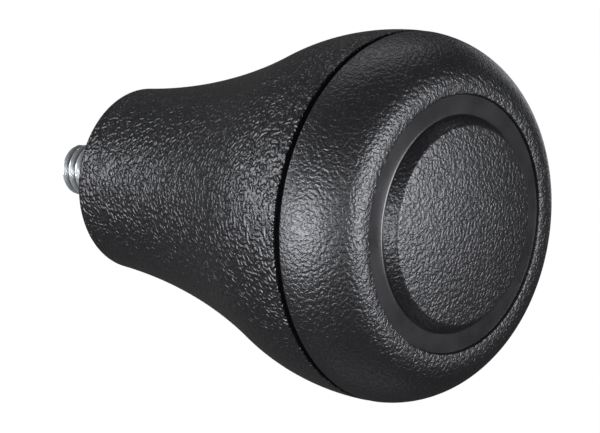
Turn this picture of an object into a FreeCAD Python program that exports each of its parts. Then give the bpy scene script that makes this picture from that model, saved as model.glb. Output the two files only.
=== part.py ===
"""Spinner knob for a steering wheel: a moulded grip that runs freely on a plated shoulder stud.

Millimetres. +Z runs up the stud, out of the steering wheel and towards the cap. The origin is on
the stud's axis, in the plane where the underside of its hexagonal collar seats. The grip shell and
its snapped-in cap turn on two shielded ball bearings, whose inner rings are clamped on the stud's
journal by a spacer, a washer and a locking nut.
"""
import FreeCAD
import Part
import math
import operator
import os
import Sketcher

DOCUMENT = FreeCAD.newDocument("SpinnerKnob")
FULL_TURN = 360

# Driving sizes, with what each one is
SIZES = {
    "head_diameter": 55.0,          # widest diameter, at the seam between shell and cap
    "foot_wall": 2.9,               # wall at the bell's foot, round the lower bearing
    "bell_height": 54.0,            # foot of the bell to the middle of the seam
    "base_lift": 2.7,               # seat plane to the foot of the bell
    "shoulder_radius": 40.9,        # convex arc of the bell under the seam
    "shoulder_sweep": 24.95,        # degrees of that arc before the waist's hollow arc takes over
    "base_edge_radius": 0.6,
    "wall": 2.8,                    # moulded wall of shell and cap
    "seam_gap": 1.0,                # open groove between shell and cap
    "seam_depth": 1.6,
    "rim_edge_radius": 0.3,         # rounding on both lips of the seam
    "rim_recess_depth": 8.0,        # straight recess in the shell that takes the cap's skirt
    "cavity_floor": 24.0,           # bottom of the hollow between hub and bell wall
    "hub_wall": 2.4,
    "hub_lip": 0.5,                 # hub above the upper bearing
    "rib_thickness": 1.8,
    "rib_drop": 3.0,                # ribs end this far under the top of the hub
    "rib_count": 6,
    "mouth_chamfer": 0.5,
    "skirt_length": 7.0,            # cap's skirt below its seat on the rim
    "skirt_wall": 1.8,
    "skirt_clearance": 0.2,
    "snap_height": 1.2,
    "snap_bite": 0.45,              # how far the cap's bead stands out of the skirt
    "snap_lift": 1.2,               # bead above the skirt's lower edge
    "slot_width": 2.4,              # slots that let the skirt spring
    "slot_height": 4.6,
    "slot_count": 6,
    "side_radius": 12.5,            # cap's outline: three arcs from the seam to the crest
    "side_sweep": 23.0,
    "brow_radius": 11.4,
    "brow_sweep": 25.0,
    "crest_radius": 5.8,
    "crest_sweep": 49.0,
    "ring_drop": 0.5,               # smooth ring below the crest
    "ring_inset": 0.15,             # slope of the step down to the smooth ring
    "ring_width": 3.1,              # from the crest's inner lip to the foot of the boss
    "boss_draft": 1.2,              # how far the boss's wall leans in over its height
    "boss_height": 1.9,
    "boss_crown": 1.1,              # how much the boss domes
    "boss_edge_round": 0.7,
    "boss_foot_fillet": 0.45,
    "lip_round": 0.25,
    "ceiling_radius": 4.0,          # inside corner between the cap's skirt and ceiling
    "cap_rib_depth": 2.6,
    "cap_rib_thickness": 1.4,
    "cap_rib_count": 6,
    "stud_diameter": 7.938,         # five sixteenths of an inch, over the thread
    "stud_length": 11.8,            # below the seat plane
    "stud_chamfer": 0.8,
    "collar_flats": 12.7,
    "collar_height": 3.2,
    "corner_bevel": 0.25,           # bevel circle inside the flats of a hexagon
    "land_height": 0.4,             # turned land on top of the collar
    "land_width": 1.45,             # how far the land stands out of the journal
    "journal_step": 0.7935,         # journal over the thread, at the radius
    "bearing_outside": 22.225,
    "bearing_width": 7.142,
    "bearing_spacing": 19.4,        # between the two bearings
    "ball_share": 0.3125,           # ball's diameter as a share of outside less bore
    "ball_count": 7,
    "ball_play": 0.02,              # free running gap between ball and race
    "race_conformity": 0.52,        # race radius as a share of the ball's diameter
    "race_opening": 0.6,            # race shoulder off the balls' circle, as a share of their radius
    "ring_edge": 0.3,
    "shield_step": 0.62,            # shield's seat outside the race shoulder
    "shield_inset": 0.32,           # shield below the bearing's face
    "shield_thickness": 0.4,
    "shield_gap": 0.25,
    "cage_gap": 0.38,               # cage clear of the race shoulders
    "cage_clearance": 0.25,         # cage clear of the shield
    "cage_reach": 0.45,             # cage past the balls' middle, as a share of their radius
    "pocket_play": 0.12,
    "slip_fit": 0.01,               # radial fit of rings on journal and in pockets
    "hub_land": 1.3,                # shoulder that stops each outer ring
    "spacer_wall": 1.4,
    "journal_short": 0.4,           # journal ends below the upper ring's face, so the nut clamps
    "washer_width": 2.4,            # bore to rim, at the radius
    "washer_thickness": 1.6,
    "nut_hex_height": 6.6,
    "nut_collar_height": 2.1,
    "nut_lip": 0.4,                 # slope where the collar is crimped over
    "crimp_wall": 0.8,              # collar's wall round the nylon ring
    "crimp_reach": 0.5,             # how far the crimp covers the nylon ring
    "insert_wall": 1.1,             # nylon ring, bore to rim
    "insert_height": 1.6,
    "thread_play": 0.02,            # plain bore over plain stud, where the real ones are threaded
    "stud_end": 1.2,                # stud above the nut
}


class Size:
    """A size: its present number, beside the sheet expression that drives it."""

    def __init__(self, number, text):
        self.number = number
        self.text = text

    def __add__(self, other):
        return joined(self, "+", other)

    def __radd__(self, other):
        return joined(other, "+", self)

    def __sub__(self, other):
        return joined(self, "-", other)

    def __rsub__(self, other):
        return joined(other, "-", self)

    def __mul__(self, other):
        return joined(self, "*", other)

    def __rmul__(self, other):
        return joined(other, "*", self)

    def __truediv__(self, other):
        return joined(self, "/", other)

    def __neg__(self):
        return joined(0, "-", self)


ARITHMETIC = {"+": operator.add, "-": operator.sub, "*": operator.mul, "/": operator.truediv}


def as_size(value):
    """Gives a plain number the form of a size."""
    return value if isinstance(value, Size) else Size(float(value), repr(float(value)))


def joined(left, sign, right):
    """Joins two sizes by one sign of arithmetic, in number and in words."""
    left, right = as_size(left), as_size(right)
    number = ARITHMETIC[sign](left.number, right.number)
    return Size(number, "(%s %s %s)" % (left.text, sign, right.text))


def root(size):
    """Square root of a size."""
    return Size(math.sqrt(size.number), "sqrt(%s)" % size.text)


def sine(angle):
    """Sine of an angle in degrees."""
    return Size(math.sin(math.radians(angle.number)), "sin(%s)" % angle.text)


def cosine(angle):
    """Cosine of an angle in degrees."""
    return Size(math.cos(math.radians(angle.number)), "cos(%s)" % angle.text)


def leg(hypotenuse, other_leg):
    """Second leg of a right-angled triangle."""
    return root(hypotenuse * hypotenuse - other_leg * other_leg)


def fill_sheet():
    """Writes each driving size into a cell of its own, named by an alias."""
    sheet = DOCUMENT.addObject("Spreadsheet::Sheet", "Sizes")
    for row, (name, number) in enumerate(SIZES.items(), start=1):
        sheet.set("A%d" % row, name)
        sheet.set("B%d" % row, str(number))
        sheet.setAlias("B%d" % row, name)
    DOCUMENT.recompute()
    return sheet


SHEET = fill_sheet()


def size(name):
    """The size kept under this alias in the sheet."""
    return Size(float(SHEET.get(name)), "Sizes.%s" % name)


def bind(thing, path, value):
    """Drives one property of an object by a size."""
    thing.setExpression(path, as_size(value).text)


def new_body(label):
    """A body for one sub-part, named by its label."""
    body = DOCUMENT.addObject("PartDesign::Body", label)
    body.Label = label
    return body


def origin_plane(body, role):
    """One of the body's own origin planes."""
    return next(item for item in body.Origin.OriginFeatures if item.Role == role)


def arc_between(start, end, radius):
    """The arc under half a turn from start to end: a positive radius turns left, a negative right."""
    chord = end - start
    middle = (start + end) * 0.5
    away = math.sqrt(max(radius * radius - chord.Length * chord.Length / 4, 0))
    left = FreeCAD.Vector(-chord.y, chord.x, 0).normalize()
    centre = middle + left * math.copysign(away, radius)
    low, high = (start, end) if radius > 0 else (end, start)
    circle = Part.Circle(centre, FreeCAD.Vector(0, 0, 1), abs(radius))
    return Part.ArcOfCircle(circle, circle.parameter(low), circle.parameter(high))


def draw_outline(sketch, corners):
    """Draws one closed outline.

    Each corner is (across, up) or (across, up, radius). The radius belongs to the arc that leads
    to the next corner, positive where it turns left. Every corner and radius is a driven size.
    """
    places = [FreeCAD.Vector(as_size(c[0]).number, as_size(c[1]).number, 0) for c in corners]
    starts = []
    ends = []
    for index, corner in enumerate(corners):
        start, end = places[index], places[(index + 1) % len(corners)]
        if len(corner) == 3:
            radius = as_size(corner[2])
            edge = sketch.addGeometry(arc_between(start, end, radius.number), False)
            bend = sketch.addConstraint(Sketcher.Constraint("Radius", edge, abs(radius.number)))
            positive = radius if radius.number > 0 else -radius
            bind(sketch, "Constraints[%d]" % bend, positive)
            starts.append((edge, 1 if radius.number > 0 else 2))
            ends.append((edge, 2 if radius.number > 0 else 1))
        else:
            edge = sketch.addGeometry(Part.LineSegment(start, end), False)
            starts.append((edge, 1))
            ends.append((edge, 2))
    for index, corner in enumerate(corners):
        here, before = starts[index], ends[index - 1]
        sketch.addConstraint(Sketcher.Constraint("Coincident", before[0], before[1], *here))
        for kind, value in (("DistanceX", corner[0]), ("DistanceY", corner[1])):
            value = as_size(value)
            place = Sketcher.Constraint(kind, -1, 1, here[0], here[1], value.number)
            bind(sketch, "Constraints[%d]" % sketch.addConstraint(place), value)


def new_sketch(body, name, outlines, plane="XZ_Plane"):
    """A sketch on one of the body's origin planes, with one or more closed outlines."""
    sketch = body.newObject("Sketcher::SketchObject", name)
    sketch.AttachmentSupport = (origin_plane(body, plane), [""])
    sketch.MapMode = "FlatFace"
    for corners in outlines:
        draw_outline(sketch, corners)
    return sketch


def turn(body, name, outlines, kind="PartDesign::Revolution"):
    """Turns outlines about the body's own upright axis, to add or to cut."""
    sketch = new_sketch(body, name + "_outline", outlines)
    feature = body.newObject(kind, name)
    feature.Profile = sketch
    feature.ReferenceAxis = (sketch, ["V_Axis"])
    feature.Angle = FULL_TURN
    sketch.Visibility = False
    return feature


def web(body, name, corners, thickness, kind="PartDesign::Pad"):
    """A slab of this outline, half its thickness each side of the upright plane."""
    sketch = new_sketch(body, name + "_outline", [corners])
    feature = body.newObject(kind, name)
    feature.Profile = sketch
    feature.Midplane = True
    bind(feature, "Length", thickness)
    return feature


def ring_of(body, name, feature, count):
    """Repeats a feature evenly round the upright axis."""
    pattern = body.newObject("PartDesign::PolarPattern", name)
    pattern.Originals = [feature]
    pattern.Axis = (feature.Profile[0], ["V_Axis"])
    pattern.Angle = FULL_TURN
    bind(pattern, "Occurrences", count)
    body.Tip = pattern
    return pattern


def hexagon(across_flats):
    """Corners of a hexagon with two flats parallel to the first axis."""
    half_flat = across_flats / 2
    corner = across_flats / math.sqrt(3)
    return [
        (corner, 0),
        (corner / 2, half_flat),
        (-corner / 2, half_flat),
        (-corner, 0),
        (-corner / 2, -half_flat),
        (corner / 2, -half_flat),
    ]


def rise(body, name, corners, height):
    """Pads an outline drawn on the ground plane up to a height."""
    sketch = new_sketch(body, name + "_outline", [corners], "XY_Plane")
    feature = body.newObject("PartDesign::Pad", name)
    feature.Profile = sketch
    bind(feature, "Length", height)
    return feature


def bevel_outline(across_flats, level, up):
    """Triangle that turns off the corners of a hexagon at a level, facing up or down."""
    inner = across_flats / 2 - size("corner_bevel")
    outer = across_flats / math.sqrt(3) + size("corner_bevel")
    fall = (outer - inner) * math.tan(math.radians(30))
    if up:
        return [(inner, level), (outer, level - fall), (outer, level)]
    return [(inner, level), (outer, level), (outer, level + fall)]


def circles_at(feature, places):
    """Names of the feature's round edges at these (radius, height) places."""
    found = []
    for number, edge in enumerate(feature.Shape.Edges, start=1):
        if edge.Degenerated or not isinstance(edge.Curve, Part.Circle):
            continue
        for radius, height in places:
            near_radius = abs(edge.Curve.Radius - radius.number) < 0.01
            if near_radius and abs(edge.Curve.Center.z - height.number) < 0.01:
                found.append("Edge%d" % number)
    return found


def round_off(body, name, places, radius):
    """Rounds the body's present edges at these (radius, height) places."""
    DOCUMENT.recompute()
    base = body.Tip
    edges = circles_at(base, places)
    if len(edges) != len(places):
        raise RuntimeError("%s finds %d edges, not %d" % (name, len(edges), len(places)))
    fillet = body.newObject("PartDesign::Fillet", name)
    fillet.Base = (base, edges)
    bind(fillet, "Radius", radius)
    return fillet


# Levels and radii that several pieces share
BEARING_LOW = size("collar_height") + size("land_height")
BEARING_HIGH = BEARING_LOW + size("bearing_width") + size("bearing_spacing")
STACK_TOP = BEARING_HIGH + size("bearing_width")
HEAD_RADIUS = size("head_diameter") / 2
BASE = size("base_lift")
SEAM = BASE + size("bell_height")
RIM = SEAM - size("seam_gap") / 2
CAP_EDGE = SEAM + size("seam_gap") / 2
RECESS_RADIUS = HEAD_RADIUS - size("wall")
SKIRT_RADIUS = RECESS_RADIUS - size("skirt_clearance")
SKIRT_FOOT = RIM - size("skirt_length")
SNAP_LOW = SKIRT_FOOT + size("snap_lift")
SNAP_HIGH = SNAP_LOW + size("snap_height")
STUD_RADIUS = size("stud_diameter") / 2
BORE_RADIUS = STUD_RADIUS + size("journal_step")
OUTSIDE_RADIUS = size("bearing_outside") / 2
JOURNAL_RADIUS = BORE_RADIUS - size("slip_fit")
POCKET_RADIUS = OUTSIDE_RADIUS + size("slip_fit")
FOOT_RADIUS = POCKET_RADIUS + size("foot_wall")
PITCH_RADIUS = (BORE_RADIUS + OUTSIDE_RADIUS) / 2
BALL_RADIUS = (OUTSIDE_RADIUS - BORE_RADIUS) * size("ball_share")
RACE_RADIUS = size("race_conformity") * 2 * BALL_RADIUS
INNER_SHOULDER = PITCH_RADIUS - size("race_opening") * BALL_RADIUS
OUTER_SHOULDER = PITCH_RADIUS + size("race_opening") * BALL_RADIUS
SHIELD_SEAT = OUTER_SHOULDER + size("shield_step")
SHIELD_LEVEL = size("bearing_width") / 2 - size("shield_inset") - size("shield_thickness")
WASHER_BORE = STUD_RADIUS + size("thread_play")
INSERT_RADIUS = WASHER_BORE + size("insert_wall")


def bell_arcs():
    """Centres and radii of the bell's two arcs, which meet smoothly.

    The shoulder arc stands upright at the seam. The hollow arc is tangent to it where the
    shoulder's sweep ends, and passes through the outer edge of the bell's foot.
    """
    bend = size("shoulder_radius")
    lean_across, lean_down = cosine(size("shoulder_sweep")), sine(size("shoulder_sweep"))
    middle = HEAD_RADIUS - bend
    meet_across, meet_up = middle + bend * lean_across, SEAM - bend * lean_down
    run, fall = meet_across - FOOT_RADIUS, meet_up - BASE
    hollow = (run * run + fall * fall) / (2 * (fall * lean_down - run * lean_across))
    far_across, far_up = meet_across + hollow * lean_across, meet_up - hollow * lean_down
    return middle, bend, hollow, far_across, far_up, lean_across, lean_down


def bell_radius(height, inset):
    """Radius of the bell's hollow part at a height, this far inside its outer surface."""
    middle, bend, hollow, far_across, far_up, lean_across, lean_down = bell_arcs()
    return far_across - leg(hollow + inset, height - far_up)


def make_grip_shell():
    """Bell-shaped grip with a hub for both bearings, ribs, and a recess for the cap."""
    body = new_body("grip_shell")
    middle, bend, hollow, far_across, far_up, lean_across, lean_down = bell_arcs()
    wall = size("wall")
    floor = size("cavity_floor")
    hub_radius = POCKET_RADIUS + size("hub_wall")
    hub_top = STACK_TOP + size("hub_lip")
    hub_bore = POCKET_RADIUS - size("hub_land")
    recess_floor = RIM - size("rim_recess_depth")
    snap_radius = RECESS_RADIUS + size("snap_bite")
    inner_bend = bend - wall
    outline = [
        (POCKET_RADIUS + size("mouth_chamfer"), BASE),
        (FOOT_RADIUS, BASE, -hollow),
        (middle + bend * lean_across, SEAM - bend * lean_down, bend),
        (middle + leg(bend, size("seam_gap") / 2), RIM),
        (RECESS_RADIUS, RIM),
        (RECESS_RADIUS, SNAP_HIGH + size("skirt_clearance")),
        (snap_radius, SNAP_HIGH + size("skirt_clearance")),
        (snap_radius, SNAP_LOW - size("skirt_clearance")),
        (RECESS_RADIUS, SNAP_LOW - size("skirt_clearance")),
        (RECESS_RADIUS, recess_floor),
        (middle + leg(inner_bend, SEAM - recess_floor), recess_floor, -inner_bend),
        (middle + inner_bend * lean_across, SEAM - inner_bend * lean_down, hollow + wall),
        (bell_radius(floor, wall), floor),
        (hub_radius, floor),
        (hub_radius, hub_top),
        (POCKET_RADIUS, hub_top),
        (POCKET_RADIUS, BEARING_HIGH),
        (hub_bore, BEARING_HIGH),
        (hub_bore, BEARING_LOW + size("bearing_width")),
        (POCKET_RADIUS, BEARING_LOW + size("bearing_width")),
        (POCKET_RADIUS, BASE + size("mouth_chamfer")),
    ]
    turn(body, "bell", [outline])
    rib_top = hub_top - size("rib_drop")
    rib_root = hub_radius - size("hub_wall") / 2
    rib = web(body, "rib", [
        (rib_root, floor - wall / 2),
        (bell_radius(floor, wall / 2), floor - wall / 2),
        (bell_radius(rib_top, wall / 2), rib_top),
        (rib_root, rib_top),
    ], size("rib_thickness"))
    ring_of(body, "ribs", rib, size("rib_count"))
    round_off(body, "foot_edge", [(FOOT_RADIUS, BASE)], size("base_edge_radius"))
    rim = (middle + leg(bend, size("seam_gap") / 2), RIM)
    round_off(body, "rim_edge", [rim], size("rim_edge_radius"))
    return body


def make_cap():
    """Cap: rounded shoulder, smooth sunk ring, domed boss, and a slotted skirt that snaps in."""
    body = new_body("cap")
    wall = size("wall")
    side, brow, crest = size("side_radius"), size("brow_radius"), size("crest_radius")
    side_angle = size("side_sweep")
    brow_angle = side_angle + size("brow_sweep")
    crest_angle = brow_angle + size("crest_sweep")
    side_across = HEAD_RADIUS - side
    brow_across = side_across + (side - brow) * cosine(side_angle)
    brow_up = SEAM + (side - brow) * sine(side_angle)
    crest_across = brow_across + (brow - crest) * cosine(brow_angle)
    crest_up = brow_up + (brow - crest) * sine(brow_angle)
    edge = (side_across + leg(side, size("seam_gap") / 2), CAP_EDGE)
    lip = (crest_across + crest * cosine(crest_angle), crest_up + crest * sine(crest_angle))
    ring = crest_up + crest - size("ring_drop")
    boss_foot = lip[0] - size("ring_width")
    boss_edge = boss_foot - size("boss_draft")
    boss_top = ring + size("boss_height")
    crown = size("boss_crown")
    boss_inside = boss_edge - wall / 2
    dome = (boss_edge * boss_edge + crown * crown) / (2 * crown)
    inner_dome = (boss_inside * boss_inside + crown * crown) / (2 * crown)
    skirt_inside = SKIRT_RADIUS - size("skirt_wall")
    ceiling = ring - wall
    corner = size("ceiling_radius")
    snap_radius = SKIRT_RADIUS + size("snap_bite")
    outline = [
        (skirt_inside, SKIRT_FOOT),
        (SKIRT_RADIUS, SKIRT_FOOT),
        (SKIRT_RADIUS, SNAP_LOW),
        (snap_radius, SNAP_LOW + size("snap_bite")),
        (snap_radius, SNAP_HIGH),
        (SKIRT_RADIUS, SNAP_HIGH),
        (SKIRT_RADIUS, RIM),
        (HEAD_RADIUS - size("seam_depth"), RIM),
        (HEAD_RADIUS - size("seam_depth"), CAP_EDGE),
        edge + (side,),
        (side_across + side * cosine(side_angle), SEAM + side * sine(side_angle), brow),
        (brow_across + brow * cosine(brow_angle), brow_up + brow * sine(brow_angle), crest),
        lip,
        (lip[0] - size("ring_inset"), ring),
        (boss_foot, ring),
        (boss_edge, boss_top, dome),
        (0, boss_top + crown),
        (0, boss_top + crown - wall, -inner_dome),
        (boss_inside, boss_top - wall),
        (boss_edge, ceiling),
        (skirt_inside - corner, ceiling, -corner),
        (skirt_inside, ceiling - corner),
    ]
    turn(body, "dish", [outline])
    rib_foot = ceiling - size("cap_rib_depth")
    rib = web(body, "stiffener", [
        (wall, rib_foot),
        (skirt_inside - wall / 2, rib_foot),
        (skirt_inside - wall / 2, ceiling - corner / 2),
        (skirt_inside - corner, ceiling + wall / 2),
        (boss_inside, boss_top - wall / 2),
        (wall, boss_top + crown / 2 - wall / 2),
    ], size("cap_rib_thickness"))
    ring_of(body, "stiffeners", rib, size("cap_rib_count"))
    slot_foot, slot_top = SKIRT_FOOT - wall, SKIRT_FOOT + size("slot_height")
    slot = web(body, "slot", [
        (skirt_inside - wall, slot_foot),
        (snap_radius + wall, slot_foot),
        (snap_radius + wall, slot_top),
        (skirt_inside - wall, slot_top),
    ], size("slot_width"), "PartDesign::Pocket")
    ring_of(body, "slots", slot, size("slot_count"))
    round_off(body, "boss_edge", [(boss_edge, boss_top)], size("boss_edge_round"))
    round_off(body, "boss_foot", [(boss_foot, ring)], size("boss_foot_fillet"))
    round_off(body, "lip_edge", [lip], size("lip_round"))
    round_off(body, "seam_edge", [edge], size("rim_edge_radius"))
    return body


def make_stud():
    """Shoulder stud: mounting thread, hexagonal collar, bearing journal and nut thread."""
    body = new_body("stud")
    bevel = size("stud_chamfer")
    land = JOURNAL_RADIUS + size("land_width")
    journal_top = STACK_TOP - size("journal_short")
    top = STACK_TOP + nut_height() + size("washer_thickness") + size("stud_end")
    half_collar = size("collar_height") / 2
    turn(body, "shank", [[
        (0, -size("stud_length")),
        (STUD_RADIUS - bevel, -size("stud_length")),
        (STUD_RADIUS, bevel - size("stud_length")),
        (STUD_RADIUS, half_collar),
        (land, half_collar),
        (land, BEARING_LOW),
        (JOURNAL_RADIUS, BEARING_LOW),
        (JOURNAL_RADIUS, journal_top - size("ring_edge")),
        (JOURNAL_RADIUS - size("ring_edge"), journal_top),
        (STUD_RADIUS, journal_top),
        (STUD_RADIUS, top - bevel),
        (STUD_RADIUS - bevel, top),
        (0, top),
    ]])
    rise(body, "collar", hexagon(size("collar_flats")), size("collar_height"))
    turn(body, "collar_bevels", [
        bevel_outline(size("collar_flats"), as_size(0), False),
        bevel_outline(size("collar_flats"), size("collar_height"), True),
    ], "PartDesign::Groove")
    return body


def nut_height():
    """Height of the locking nut with its crimped collar."""
    return size("nut_hex_height") + size("nut_collar_height")


def make_lock_nut():
    """Hexagon nut whose crimped collar holds a nylon ring."""
    body = new_body("lock_nut")
    bore = WASHER_BORE
    seat = INSERT_RADIUS + size("slip_fit")
    rim = seat + size("crimp_wall")
    lip = INSERT_RADIUS - size("crimp_reach")
    hex_top = size("nut_hex_height")
    insert_top = hex_top + size("insert_height")
    turn(body, "crimped_collar", [[
        (bore, 0),
        (rim, 0),
        (rim, insert_top),
        (rim - size("nut_lip"), nut_height()),
        (lip, nut_height()),
        (lip, insert_top),
        (seat, insert_top),
        (seat, hex_top),
        (bore, hex_top),
    ]])
    rise(body, "hexagon", hexagon(size("collar_flats")), hex_top)
    turn(body, "bore_and_bevels", [
        [(0, -size("nut_lip")), (bore, -size("nut_lip")), (bore, nut_height()), (0, nut_height())],
        bevel_outline(size("collar_flats"), as_size(0), False),
        bevel_outline(size("collar_flats"), hex_top, True),
    ], "PartDesign::Groove")
    bind(body, "Placement.Base.z", STACK_TOP + size("washer_thickness"))
    return body


def make_turned_piece(label, corners, base):
    """A plain turned piece of one outline, standing at a height on the stud's axis."""
    body = new_body(label)
    turn(body, "section", [corners])
    bind(body, "Placement.Base.z", base)
    return body


def make_clamped_pieces():
    """Spacer, washer and nylon ring round the stud."""
    return [
        make_turned_piece("inner_spacer", rectangle(
            BORE_RADIUS, BORE_RADIUS + size("spacer_wall"), 0, size("bearing_spacing"),
        ), BEARING_LOW + size("bearing_width")),
        make_turned_piece("flat_washer", rectangle(
            WASHER_BORE, WASHER_BORE + size("washer_width"), 0, size("washer_thickness"),
        ), STACK_TOP),
        make_turned_piece("nut_insert", rectangle(
            WASHER_BORE, INSERT_RADIUS, 0, size("insert_height"),
        ), STACK_TOP + size("washer_thickness") + size("nut_hex_height")),
    ]


def rectangle(inner, outer, low, high):
    """Corners of an upright rectangle."""
    return [(inner, low), (outer, low), (outer, high), (inner, high)]


def race(label, base, wall_radius, shoulder, groove_bottom, seat):
    """One bearing ring, drawn about the bearing's middle plane.

    The ring is a rectangle from its wall to its shoulder, with bevelled edges at the wall and a
    ball groove in the shoulder. An outer ring also has a seat for the shields in both faces.
    """
    half = size("bearing_width") / 2
    bevel = size("ring_edge")
    outward = shoulder.number > wall_radius.number
    across = bevel if outward else -bevel
    centre = groove_bottom + RACE_RADIUS if outward else groove_bottom - RACE_RADIUS
    groove_half = leg(RACE_RADIUS, shoulder - centre)
    lower = [
        (wall_radius, bevel - half),
        (wall_radius + across, -half),
    ]
    upper = [
        (wall_radius + across, half),
        (wall_radius, half - bevel),
    ]
    groove = [
        (shoulder, -groove_half, RACE_RADIUS if not outward else -RACE_RADIUS),
        (shoulder, groove_half),
    ]
    if seat is None:
        faces = ([(shoulder, -half)], [(shoulder, half)])
    else:
        faces = (
            [(seat, -half), (seat, -SHIELD_LEVEL), (shoulder, -SHIELD_LEVEL)],
            [(shoulder, SHIELD_LEVEL), (seat, SHIELD_LEVEL), (seat, half)],
        )
    corners = lower + faces[0] + groove + faces[1] + upper
    return make_turned_piece(label, corners, base + half)


def make_balls(label, middle):
    """The ring of balls, as one group of separate spheres."""
    balls = ball_ring(label + "_ball", BALL_RADIUS, middle)
    group = DOCUMENT.addObject("Part::Compound", label)
    group.Label = label
    group.Links = balls
    return group


def ball_ring(name, radius, middle):
    """Spheres evenly spaced on the bearing's pitch circle."""
    spheres = []
    count = size("ball_count")
    for index in range(int(count.number)):
        sphere = DOCUMENT.addObject("Part::Sphere", "%s_%d" % (name, index + 1))
        bind(sphere, "Radius", radius)
        angle = as_size(index * FULL_TURN) / count
        bind(sphere, "Placement.Base.x", PITCH_RADIUS * cosine(angle))
        bind(sphere, "Placement.Base.y", PITCH_RADIUS * sine(angle))
        bind(sphere, "Placement.Base.z", middle)
        spheres.append(sphere)
    return spheres


def make_cage(label, middle):
    """Crown cage: a ring with a round pocket snapped over each ball."""
    inner = INNER_SHOULDER + size("cage_gap")
    outer = OUTER_SHOULDER - size("cage_gap")
    back = SHIELD_LEVEL - size("cage_clearance")
    drums = []
    for name, radius in (("outside", outer), ("inside", inner)):
        drum = DOCUMENT.addObject("Part::Cylinder", "%s_%s" % (label, name))
        bind(drum, "Radius", radius)
        bind(drum, "Height", back + size("cage_reach") * BALL_RADIUS)
        bind(drum, "Placement.Base.z", middle - back)
        drums.append(drum)
    blank = DOCUMENT.addObject("Part::Cut", label + "_ring")
    blank.Base, blank.Tool = drums
    pockets = DOCUMENT.addObject("Part::Compound", label + "_pockets")
    pockets.Links = ball_ring(label + "_pocket", BALL_RADIUS + size("pocket_play"), middle)
    cage = DOCUMENT.addObject("Part::Cut", label)
    cage.Label = label
    cage.Base, cage.Tool = blank, pockets
    return cage


def make_bearing(name, base):
    """All pieces of one shielded ball bearing, its lower face at this height."""
    middle = base + size("bearing_width") / 2
    play = BALL_RADIUS + size("ball_play")
    thickness = size("shield_thickness")
    shield_bore = INNER_SHOULDER + size("shield_gap")
    shield = rectangle(shield_bore, SHIELD_SEAT - size("slip_fit"), 0, thickness)
    return [
        race(name + "_inner_ring", base, BORE_RADIUS, INNER_SHOULDER, PITCH_RADIUS - play, None),
        race(name + "_outer_ring", base, OUTSIDE_RADIUS, OUTER_SHOULDER, PITCH_RADIUS + play,
             SHIELD_SEAT),
        make_cage(name + "_cage", middle),
        make_balls(name + "_balls", middle),
        make_turned_piece(name + "_bottom_shield", shield, middle - SHIELD_LEVEL - thickness),
        make_turned_piece(name + "_top_shield", shield, middle + SHIELD_LEVEL),
    ]


def faults(pieces):
    """Everything that keeps the model from being written."""
    problems = []
    for item in DOCUMENT.Objects:
        if "Invalid" in item.State or "Error" in item.State:
            problems.append("%s is %s" % (item.Label, item.State))
    for piece in pieces:
        if piece.Shape.isNull() or not piece.Shape.isValid() or not piece.Shape.Solids:
            problems.append("%s has no sound solid" % piece.Label)
    return problems


def main():
    """Builds every piece, checks it and writes one file for each."""
    pieces = [make_grip_shell(), make_cap(), make_stud(), make_lock_nut()]
    pieces += make_clamped_pieces()
    pieces += make_bearing("lower", BEARING_LOW)
    pieces += make_bearing("upper", BEARING_HIGH)
    DOCUMENT.recompute()
    problems = faults(pieces)
    if problems:
        raise RuntimeError("; ".join(problems))
    os.makedirs("parts", exist_ok=True)
    for piece in pieces:
        shape = piece.Shape
        shape.exportStep("parts/%s.step" % piece.Label)
        box = shape.BoundBox
        print("%-22s %2d solids %9.1f mm3  z %6.2f to %6.2f  r %.3f" % (
            piece.Label, len(shape.Solids), shape.Volume, box.ZMin, box.ZMax, box.XMax))


main()
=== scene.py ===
"""Looks of the steering wheel spinner knob.

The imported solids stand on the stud's axis, with the stud pointing down and the cap on top. The
grip, the cap and the stud are drawn again here as surfaces with their moulded grain and their
thread. Every other solid keeps its shape and gets a finish. Lengths are metres.
"""

import math

import bmesh
import bpy
import numpy as np
from mathutils import Matrix, Vector


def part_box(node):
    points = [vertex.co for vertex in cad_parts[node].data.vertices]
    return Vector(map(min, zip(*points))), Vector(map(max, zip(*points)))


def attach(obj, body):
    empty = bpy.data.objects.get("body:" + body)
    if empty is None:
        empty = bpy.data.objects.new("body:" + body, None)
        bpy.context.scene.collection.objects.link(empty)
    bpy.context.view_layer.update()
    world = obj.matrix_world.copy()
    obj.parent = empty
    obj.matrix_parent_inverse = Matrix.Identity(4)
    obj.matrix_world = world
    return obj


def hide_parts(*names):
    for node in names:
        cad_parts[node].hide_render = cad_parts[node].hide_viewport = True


bl_info = {
    "name": "Spinner knob",
    "version": (1, 0, 0),
    "blender": (4, 5, 0),
    "location": "3D View > Sidebar > Spinner knob",
    "description": "Dresses the solids of a steering wheel spinner knob",
    "category": "Object",
}

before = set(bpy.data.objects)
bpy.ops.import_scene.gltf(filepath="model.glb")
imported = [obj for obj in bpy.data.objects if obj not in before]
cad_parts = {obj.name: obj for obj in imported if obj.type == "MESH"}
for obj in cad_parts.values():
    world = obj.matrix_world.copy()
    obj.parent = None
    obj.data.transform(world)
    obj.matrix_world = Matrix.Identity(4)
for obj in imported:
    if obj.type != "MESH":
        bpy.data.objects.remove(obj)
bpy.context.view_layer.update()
MM = 0.001


def millimetres(name, description, default):
    """A length property whose default is given in millimetres."""
    return bpy.props.FloatProperty(
        name=name, description=description, default=default * MM, unit="LENGTH", precision=5,
    )


def degrees(name, description, default):
    """An angle property whose default is given in degrees."""
    return bpy.props.FloatProperty(
        name=name, description=description, default=math.radians(default), subtype="ANGLE",
    )


def number(name, description, default):
    """A plain number, such as a share or a strength."""
    return bpy.props.FloatProperty(name=name, description=description, default=default)


def span(name, description, least, most):
    """Two plain numbers, the ends of a range."""
    return bpy.props.FloatVectorProperty(
        name=name, description=description, default=(least, most), size=2,
    )


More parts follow.
